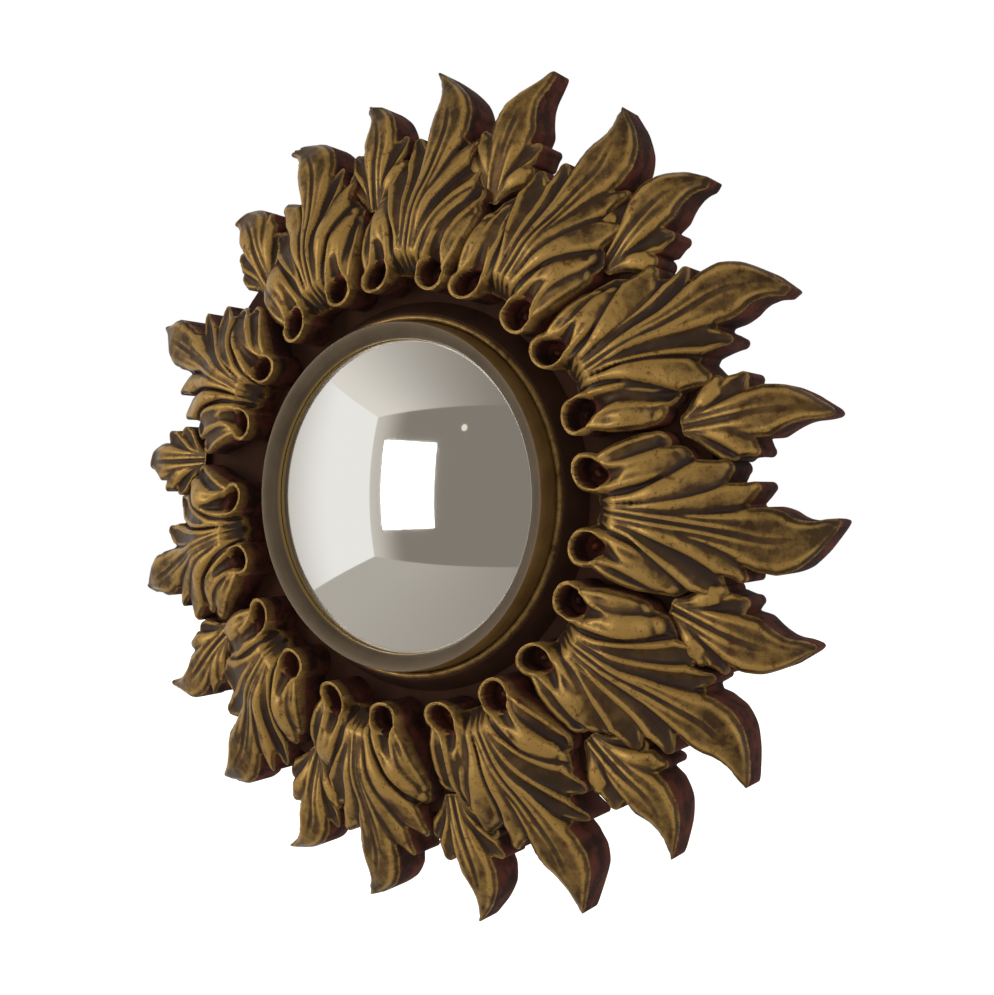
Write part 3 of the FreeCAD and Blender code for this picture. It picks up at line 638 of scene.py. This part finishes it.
def front_face(index, r, b, dice):
    """Reach, height and wall value over a front leaf."""
    top = long_profile(FRONT_PROFILE, r)
    palm = np.minimum(np.interp(r, *PALM) - np.abs(b), np.minimum(r - PALM_ROOT, PALM_TIP - r))
    strokes = [(palm, top - PALM_DROP - 0.005 * b ** 2)]
    full = dice.uniform(1.2, 2.8)
    strokes.append(blade_relief(index, r, b, dice, *FRONT_BLADE, top + 0.6, full, FRONT_PLAIN_FROM))
    for side in (1, -1):
        room = np.clip(half_room(index, side) / USUAL_ROOM, 0.92, 1.3)
        for start, bend, end, widths, fall, lift, depths in FRONT_LOBES:
            depth = dice.choice(depths)
            end = (end[0] + dice.uniform(-3, 3), side * (end[1] * room + dice.uniform(-2.5, 2.5)))
            bend = (bend[0] + dice.uniform(-4, 4), side * bend[1] * (1 + 0.5 * (room - 1)))
            line = bent((start[0], side * start[1]), bend, end)
            swell = 1 + 0.12 * dice.uniform(-1, 1)
            depth = depth * dice.uniform(0.8, 1.3)
            lean = side * dice.uniform(-1.6, 0.6)
            strokes.append(stroke_relief(line, [w * swell for w in widths], top + lift, fall, depth,
                                         r, b, lean))
        strokes.append(scroll(r, b, side))
    inside, height = together(strokes)
    between_scrolls = 1 - smooth(np.abs(b), 9.5, 12.5)
    height = height - 12 * (1 - smooth(r, 156, 173)) * between_scrolls
    wall = np.zeros_like(r)
    for side in (1, -1):
        height, wall = rolled(r, b, side, dice, height, wall)
    return inside, height, wall


# %% One back leaf's face
BACK_PROFILE = [(196, 29), (240, 35), (312, 24)]
BACK_BLADE = ((211, 225, 240, 254, 266, 279, 290), (4.0, 7.0, 11.0, 15.4, 16.6, 13.4, 8.6))
BACK_PLAIN_FROM = 250
BACK_START = 211.5
BACK_LOBES = (
    ((214, 3), (238, 7), (257, 22), (2.2, 4.0, 6.8, 8.4, 3.4), 4, -0.4, (-2.8, 1.8)),
    ((214, 4), (227, 9), (240, 23), (2.6, 4.4, 6.4, 7.4, 4.4), 4, -0.4, (-2.6, 1.6)))


def back_face(index, r, b, dice):
    """Reach, height and wall value over a back leaf, which has two small lobes a side."""
    top = long_profile(BACK_PROFILE, r)
    full = dice.uniform(0.8, 2.4)
    reach, height = blade_relief(index, r, b, dice, *BACK_BLADE, top, full, BACK_PLAIN_FROM)
    strokes = [(np.minimum(reach, r - BACK_START), height)]
    for side in (1, -1):
        chosen = [dice.choice(row[-1]) for row in BACK_LOBES]
        for (start, bend, end, widths, fall, lift, _), depth in zip(BACK_LOBES, chosen):
            end = (end[0] + dice.uniform(-2, 2), side * (end[1] + dice.uniform(-1.5, 1.5)))
            line = bent((start[0], side * start[1]), (bend[0], side * bend[1]), end)
            strokes.append(stroke_relief(line, widths, top + lift, fall, depth, r, b))
    return together(strokes) + (np.zeros_like(r),)


# %% [markdown]
# The grid has a point every 0.75 mm, fine enough for a rib 4 mm wide. Points on the cut edge are
# moved onto the drawn line and evened along it, so that the saw cut is clean. Inside the backing
# ring the leaf sits on the ground, and beyond it the leaf runs back to the wall. No two neighbours
# end in quite the same plane, because leaves that meet in one plane behind would show as black
# patches there.

# %% Make a leaf
CELL = 0.75
TIP_MARGIN = 1.5
FIRST_SEED = 100
GROUND_RADIUS, STEP_RADIUS, GROUND_DEPTH = 226.0, 222, 22.0
REAR_STEP, REAR_PLANES = 0.2, 4
EVENING_ROUNDS = 4


def carve_leaf(name, index, face, first, half):
    """A closed leaf: a sawn grid, extruded to its thickness, with its face raised to the relief."""
    dice = np.random.RandomState(FIRST_SEED + index)
    r_count = int((LEAVES[index][-1] + TIP_MARGIN - first) / CELL) + 1
    b_count = int(2 * half / CELL) + 1
    bpy.ops.object.select_all(action="DESELECT")
    bpy.ops.mesh.primitive_grid_add(x_subdivisions=r_count - 1, y_subdivisions=b_count - 1, size=2)
    leaf = bpy.context.object
    leaf.name = name
    mesh = leaf.data
    spots = np.empty(len(mesh.vertices) * 3)
    mesh.vertices.foreach_get("co", spots)
    spots = spots.reshape(-1, 3)
    column = np.rint((spots[:, 0] + 1) / 2 * (r_count - 1)).astype(int)
    row = np.rint((spots[:, 1] + 1) / 2 * (b_count - 1)).astype(int)
    r, b = np.meshgrid(first + CELL * np.arange(r_count), -half + CELL * np.arange(b_count),
                       indexing="ij")
    inside, height, wall = face(index, r, b, dice)
    shake = 0.3 * np.sin(r / dice.uniform(5, 8) + dice.uniform(0, 6))
    shake = shake * np.sin(b / 4.6 + dice.uniform(0, 6))
    kept = (inside > 0).astype(float)
    carved = kept * (1 - wall)
    height = np.where(kept > 0, height + shake * (1 - wall), 0)
    eased = blurred(height * carved, 1) / np.maximum(blurred(carved, 1), 0.02)
    height = np.where(carved > 0, 0.35 * height + 0.65 * eased, height)
    soft, wide = (blurred(height * kept, cells) / np.maximum(blurred(kept, cells), 0.02)
                  for cells in (2, 9))
    edge = smooth(inside, 0.8, 3.0)
    cavity = edge * np.maximum(np.clip((soft - height) / 0.7, 0, 1),
                               np.clip((wide - height) / 3.6, 0, 1))
    wear = edge * (np.clip((height - soft) / 0.5, 0, 1) + np.clip((height - wide) / 4, 0, 0.5))
    wear = wear + 0.5 * (1 - smooth(inside, 0.4, 1.8))
    slope_r, slope_b = np.gradient(inside, CELL)
    steep = np.maximum(slope_r ** 2 + slope_b ** 2, 0.25)

    cell = (column, row)
    mesh.vertices.foreach_set("select", inside[cell] <= 0)
    mesh.edges.foreach_set("select", np.zeros(len(mesh.edges), bool))
    mesh.polygons.foreach_set("select", np.zeros(len(mesh.polygons), bool))
    for label, values in (("r", r), ("b", b), ("height", height), ("cavity", cavity), ("wear", wear),
                          ("wall", wall), ("inside", inside), ("sr", slope_r / steep),
                          ("sb", slope_b / steep)):
        set_values(leaf, **{label: values[cell]})
    bpy.ops.object.mode_set(mode="EDIT")
    bpy.ops.mesh.select_mode(type="VERT")
    bpy.ops.mesh.delete(type="VERT")
    bpy.ops.mesh.select_all(action="SELECT")
    bpy.ops.mesh.delete_loose()
    bpy.ops.object.mode_set(mode="OBJECT")
    raise_leaf(leaf, index)
    return leaf


def read_values(mesh, label):
    """One painted value of every point."""
    numbers = np.empty(len(mesh.vertices), np.float32)
    mesh.attributes[label].data.foreach_get("value", numbers)
    return numbers.astype(float)


def evened(values, pairs, on_rim):
    """Values whose points on the sawn edge are moved half way to the mean of their two neighbours."""
    first, second = pairs.T
    sums = (np.bincount(first, values[second], len(values))
            + np.bincount(second, values[first], len(values)))
    count = np.bincount(pairs.ravel(), minlength=len(values))
    return np.where(on_rim, (values + sums / np.maximum(count, 1)) / 2, values)


def raise_leaf(leaf, index):
    """Cleans the sawn edge, extrudes the leaf and raises its face."""
    mesh = leaf.data
    r, b, inside = (read_values(mesh, label) for label in ("r", "b", "inside"))
    sides = np.empty(len(mesh.loops), np.int32)
    mesh.loops.foreach_get("edge_index", sides)
    ends = np.empty(len(mesh.edges) * 2, np.int32)
    mesh.edges.foreach_get("vertices", ends)
    rim_edges = np.bincount(sides, minlength=len(mesh.edges)) == 1
    pairs = ends.reshape(-1, 2)[rim_edges]
    on_rim = np.zeros(len(r), bool)
    on_rim[pairs.ravel()] = True
    set_values(leaf, rim=on_rim)
    move_r, move_b = (-inside * on_rim * read_values(mesh, label) for label in ("sr", "sb"))
    too_far = np.maximum(np.hypot(move_r, move_b) / (1.1 * CELL), 1)
    r, b = r + move_r / too_far, b + move_b / too_far
    height = read_values(mesh, "height")
    for _ in range(EVENING_ROUNDS):
        r, b, height = (evened(values, pairs, on_rim) for values in (r, b, height))
    set_values(leaf, height=height)
    turn = np.radians(axis_turn(index, r)) + b / r
    plane = REAR_STEP * (index % REAR_PLANES)
    step = np.interp(r, (STEP_RADIUS, GROUND_RADIUS), (GROUND_DEPTH, 1.0 + plane))
    back = np.where(r >= GROUND_RADIUS, plane, step)
    place = np.stack([r * np.cos(turn), -back, r * np.sin(turn)], axis=1) * MM
    mesh.vertices.foreach_set("co", place.ravel())
    mesh.update()
    first_count = len(mesh.vertices)
    bpy.ops.object.mode_set(mode="EDIT")
    bpy.ops.mesh.select_all(action="SELECT")
    bpy.ops.mesh.extrude_region_move()
    bpy.ops.object.mode_set(mode="OBJECT")
    chosen = np.empty(len(mesh.vertices), bool)
    mesh.vertices.foreach_get("select", chosen)
    spots = np.empty(len(mesh.vertices) * 3)
    mesh.vertices.foreach_get("co", spots)
    spots = spots.reshape(-1, 3)
    spots[chosen, 1] = -read_values(mesh, "height")[chosen] * MM
    mesh.vertices.foreach_set("co", spots.ravel())
    mesh.update()
    faces = np.empty(len(mesh.loops), np.int32)
    mesh.loops.foreach_get("vertex_index", faces)
    starts = np.empty(len(mesh.polygons), np.int32)
    mesh.polygons.foreach_get("loop_start", starts)
    rear = ~np.logical_or.reduceat(chosen[faces] | (read_values(mesh, "rim") > 0)[faces], starts)
    face_on = np.logical_and.reduceat(chosen[faces], starts)
    sunk = np.maximum.reduceat(read_values(mesh, "wall")[faces], starts) > 0.5
    sunken = read_values(mesh, "wall") > 0.5
    out_there = smooth(read_values(mesh, "r"), 165, 215)
    for label in ("r", "b", "height", "inside", "sr", "sb", "wall", "rim"):
        mesh.attributes.remove(mesh.attributes[label])
    set_values(leaf, drop=np.where(chosen & ~sunken, 0.24 * out_there, 1.0))
    layer = mesh.attributes.new("wall", "FLOAT", "FACE")
    layer.data.foreach_set("value", np.where(face_on & ~sunk, 0, 1).astype(np.float32))
    mesh.vertices.foreach_set("select", ~chosen)
    mesh.edges.foreach_set("select", np.zeros(len(mesh.edges), bool))
    mesh.polygons.foreach_set("select", rear)
    bpy.ops.object.mode_set(mode="EDIT")
    bpy.ops.mesh.select_mode(type="FACE")
    bpy.ops.mesh.dissolve_limited(angle_limit=math.radians(1))
    bpy.ops.mesh.select_all(action="SELECT")
    bpy.ops.mesh.normals_make_consistent(inside=False)
    bpy.ops.object.mode_set(mode="OBJECT")
    bpy.ops.object.shade_smooth_by_angle(angle=math.radians(65))
    print(leaf.name, first_count, "points sawn,", len(mesh.polygons), "faces")


# %% All the leaves
FRONT_GRID_START, FRONT_GRID_HALF, BACK_GRID_HALF = 144.0, 72.0, 36.0
for number in range(PAIRS):
    label = f"{number + 1:02d}"
    leaf = carve_leaf(f"carved_front_{label}", 2 * number, front_face, FRONT_GRID_START,
                      FRONT_GRID_HALF)
    fitted(leaf, "frame", leaf_gilding, f"front_leaf_{label}")
    leaf = carve_leaf(f"carved_back_{label}", 2 * number + 1, back_face, BACK_START - 1,
                      BACK_GRID_HALF)
    fitted(leaf, "frame", leaf_gilding, f"back_leaf_{label}")

# %% [markdown]
# ## The ground and the back
# The backing ring is stained dark where it shows between the leaves and left as bare limewood behind.

# %% Stained limewood
stained, tree, shader = new_material("limewood, stained in front and bare behind")
place = add_node(tree, "ShaderNodeTexCoord", {}).outputs["Object"]
split = add_node(tree, "ShaderNodeSeparateXYZ", {0: place})
flat = add_node(tree, "ShaderNodeCombineXYZ", {0: split.outputs[0], 2: split.outputs[2]})
reach = add_node(tree, "ShaderNodeVectorMath", {0: flat.outputs[0]}, operation="LENGTH")
grain_place = add_node(tree, "ShaderNodeMapping", {0: place, "Scale": (1.0, 1.0, 0.06)})
grain = add_node(tree, "ShaderNodeTexNoise", {"Vector": grain_place.outputs[0], "Scale": 260.0,
                                              "Detail": 6.0, "Roughness": 0.6}).outputs[0]
clouds = add_node(tree, "ShaderNodeTexNoise", {"Vector": place, "Scale": 45.0, "Detail": 6.0})
stain = add_node(tree, "ShaderNodeMix", {0: clouds.outputs[0], 6: linear("#1e120c"),
                                         7: linear("#442819")}, data_type="RGBA").outputs[2]
bare = add_node(tree, "ShaderNodeMix", {0: grain, 6: linear("#7d5d3a"), 7: linear("#c19c6b")},
                data_type="RGBA").outputs[2]
behind = add_node(tree, "ShaderNodeMapRange", {0: split.outputs[1], 1: -0.0115, 2: -0.0114})
within = add_node(tree, "ShaderNodeMapRange", {0: reach.outputs["Value"], 1: 0.2258, 2: 0.2256})
both = add_node(tree, "ShaderNodeMath", {0: behind.outputs[0], 1: within.outputs[0]},
                operation="MULTIPLY").outputs[0]
wood = add_node(tree, "ShaderNodeMix", {0: both, 6: stain, 7: bare}, data_type="RGBA").outputs[2]
tree.links.new(wood, shader.inputs["Base Color"])
shader.inputs["Roughness"].default_value = 0.85
shader.inputs["Specular IOR Level"].default_value = 0.12
bump = add_node(tree, "ShaderNodeBump", {"Strength": 0.25, "Distance": 0.0003, "Height": grain})
tree.links.new(bump.outputs[0], shader.inputs["Normal"])


def refinish(name, material):
    """Gives a CAD node that stays a finish of its own."""
    mesh = nodes[name].data
    mesh.materials.clear()
    mesh.materials.append(material)


refinish("backing_ring", stained)


# %% Board, blocks, steel and brass
def plain_finish(name, low, high, scale, stretch, roughness, metallic):
    """A material with a fine grain between two colours."""
    material, tree, shader = new_material(name)
    place = add_node(tree, "ShaderNodeTexCoord", {}).outputs["Object"]
    stretched = add_node(tree, "ShaderNodeMapping", {0: place, "Scale": stretch}).outputs[0]
    grain = add_node(tree, "ShaderNodeTexNoise", {"Vector": stretched, "Scale": scale, "Detail": 6.0,
                                                  "Roughness": 0.65}).outputs[0]
    spread = add_node(tree, "ShaderNodeMapRange", {0: grain, 1: 0.32, 2: 0.68}).outputs[0]
    colour = add_node(tree, "ShaderNodeMix", {0: spread, 6: linear(low), 7: linear(high)},
                      data_type="RGBA").outputs[2]
    tree.links.new(colour, shader.inputs["Base Color"])
    gloss = add_node(tree, "ShaderNodeMapRange", {0: grain, 1: 0.3, 2: 0.7, 3: roughness - 0.06,
                                                  4: roughness + 0.08}).outputs[0]
    tree.links.new(gloss, shader.inputs["Roughness"])
    shader.inputs["Metallic"].default_value = metallic
    bump = add_node(tree, "ShaderNodeBump", {"Strength": 0.2, "Distance": 0.0002, "Height": grain})
    tree.links.new(bump.outputs[0], shader.inputs["Normal"])
    return material


hardboard = plain_finish("hardboard", "#5b4027", "#7a5a38", 700.0, (1, 1, 1), 0.75, 0.0)
pine = plain_finish("sawn pine", "#9a7444", "#c9a36c", 420.0, (1, 1, 0.08), 0.7, 0.0)
steel = plain_finish("rolled steel", "#7c7a76", "#a9a7a2", 900.0, (1, 0.1, 1), 0.34, 1.0)
brass = plain_finish("dull brass", "#7c5f2e", "#b18d49", 160.0, (1, 1, 1), 0.36, 1.0)
refinish("back_board", hardboard)
refinish("glue_blocks", pine)
for name in ["button_screws"] + [f"turn_button_{i}" for i in range(1, 5)]:
    refinish(name, steel)
for name in ("hanger_strap", "hanger_ring", "hanger_screws"):
    refinish(name, brass)
